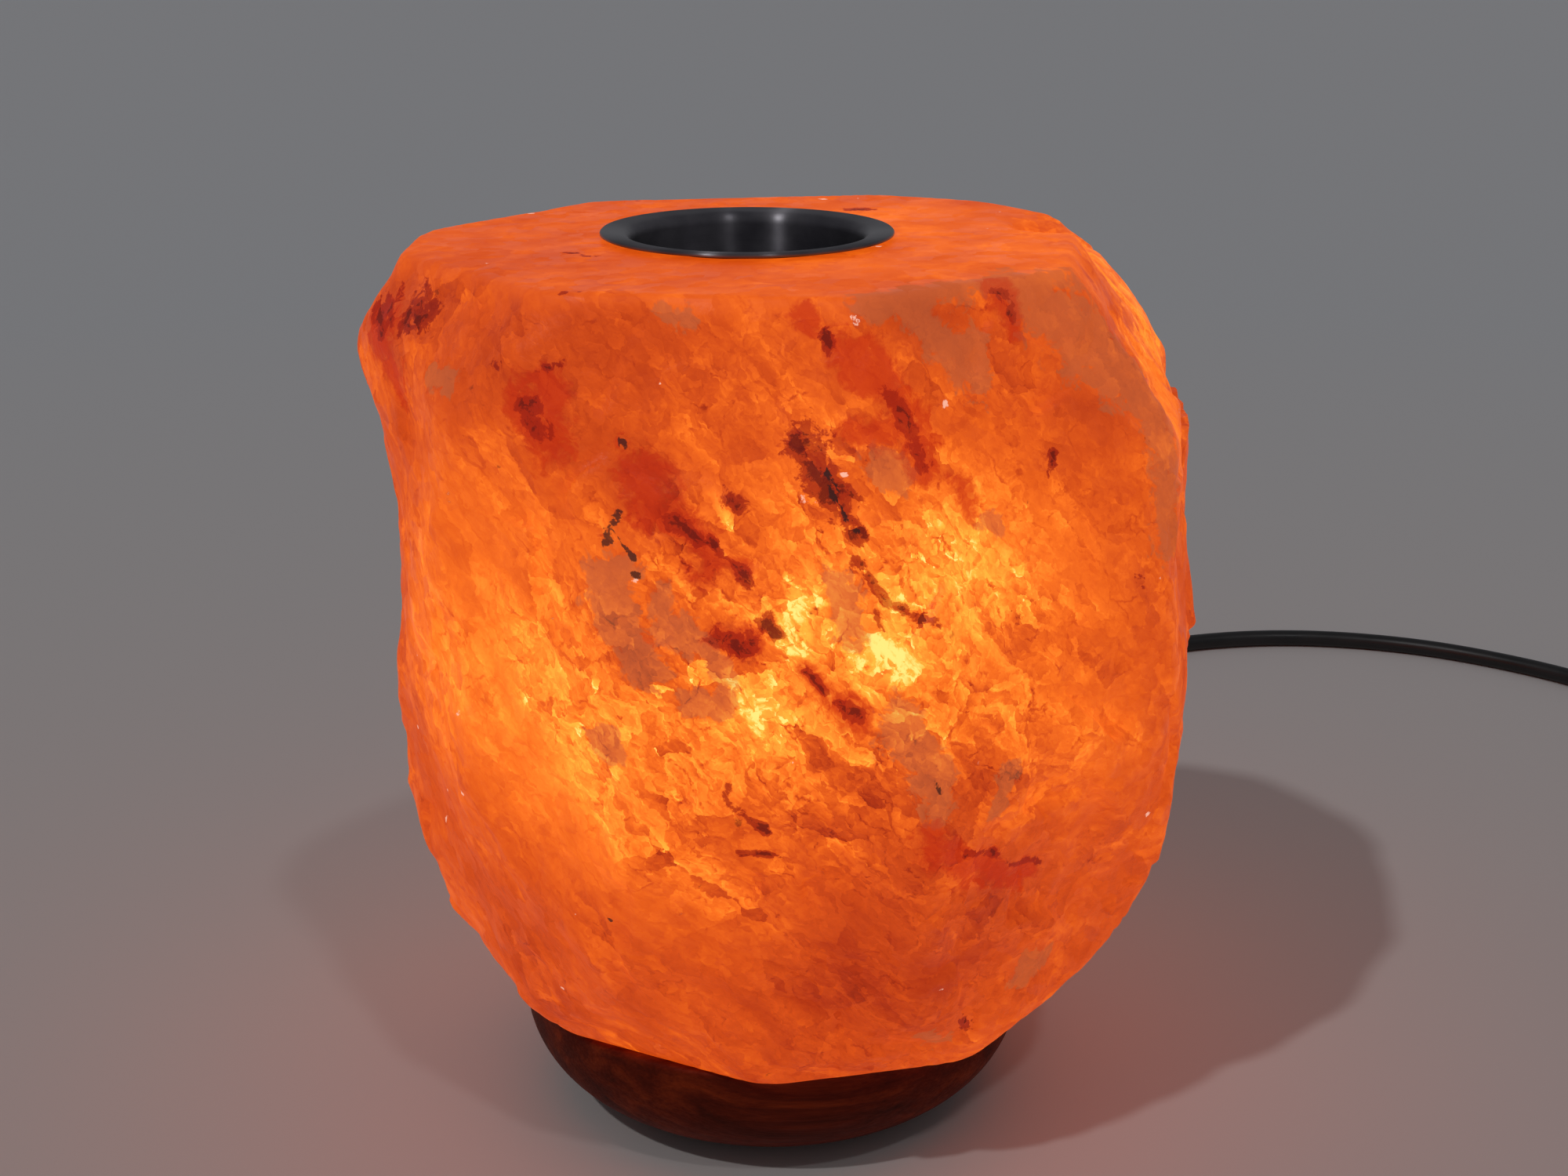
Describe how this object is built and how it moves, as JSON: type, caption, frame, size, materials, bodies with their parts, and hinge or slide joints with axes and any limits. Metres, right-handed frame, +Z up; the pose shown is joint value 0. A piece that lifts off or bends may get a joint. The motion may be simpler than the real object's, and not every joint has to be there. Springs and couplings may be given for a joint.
{
  "type": "salt lamp",
  "caption": "Hewn rock-salt table lamp on a turned wooden base, with a bulb in a drilled cavity, a lift-out steel oil dish in its flat top and a corded rocker switch.",
  "frame": {"origin": "on the table, under the middle of the salt block", "axes": "+Z up, -Y to the front that the picture shows, +Y to the back where the cord leaves"},
  "size_m": [0.3977, 0.4045, 0.1916],
  "materials": {
    "salt": "rough-hewn rock salt, sawn flat on top",
    "wood": "turned, stained and waxed",
    "dish_steel": "spun and polished",
    "foot_rubber": "moulded",
    "zinc_steel": "zinc plated",
    "spring_steel": "bright strip",
    "brass": "stamped",
    "nylon": "moulded",
    "black_plastic": "moulded",
    "cord_pvc": "extruded, soft",
    "wire_blue": "extruded",
    "porcelain": "fired",
    "bulb_glass": "blown, clear",
    "stem_glass": "pressed",
    "vitrite": "black glass",
    "tungsten": "drawn wire, lit"
  },
  "bodies": {
    "lamp": {"salt_block": "salt", "wood_base": "wood", "rubber_feet": "foot_rubber", "base_screws": "zinc_steel", "screw_plugs": "nylon", "holder_cap": "black_plastic", "holder_body": "black_plastic", "holder_insert": "porcelain", "thread_shell": "brass", "centre_contact": "brass", "terminal_screws": "zinc_steel", "lead_wires": "wire_blue", "spring_clips": "spring_steel", "clip_rivets": "zinc_steel", "bulb_glass": "bulb_glass", "bulb_cap": "brass", "bulb_insulator": "vitrite", "bulb_contact": "zinc_steel", "bulb_stem": "stem_glass", "bulb_leads": "zinc_steel", "bulb_filament": "tungsten", "inner_cord": "cord_pvc", "cord_clip": "nylon", "clip_screws": "zinc_steel", "cord_run": "cord_pvc", "cord_link": "cord_pvc", "cord_coil": "cord_pvc", "cord_ties": "nylon", "cord_tail": "cord_pvc", "switch_lower_shell": "black_plastic", "switch_upper_shell": "black_plastic", "rocker_pin": "zinc_steel", "switch_screws": "zinc_steel", "switch_terminals": "brass", "contact_leaf": "brass", "switch_reliefs": "cord_pvc", "plug_relief": "cord_pvc", "plug_body": "black_plastic", "plug_pins": "brass", "pin_sleeves": "black_plastic"},
    "dish": {"aroma_dish": "dish_steel"},
    "rocker": {"switch_rocker": "black_plastic"}
  },
  "joints": [
    {"name": "dish_lift", "type": "slide", "parent": "lamp", "child": "dish", "axis": [0, 0, 1], "range_m": [0, 0.05]},
    {"name": "rocker_turn", "type": "hinge", "parent": "lamp", "child": "rocker", "pos_m": [0.296, 0.119, 0.0132], "axis": [1, 0, 0], "range_deg": [-16, 0]}
  ]
}
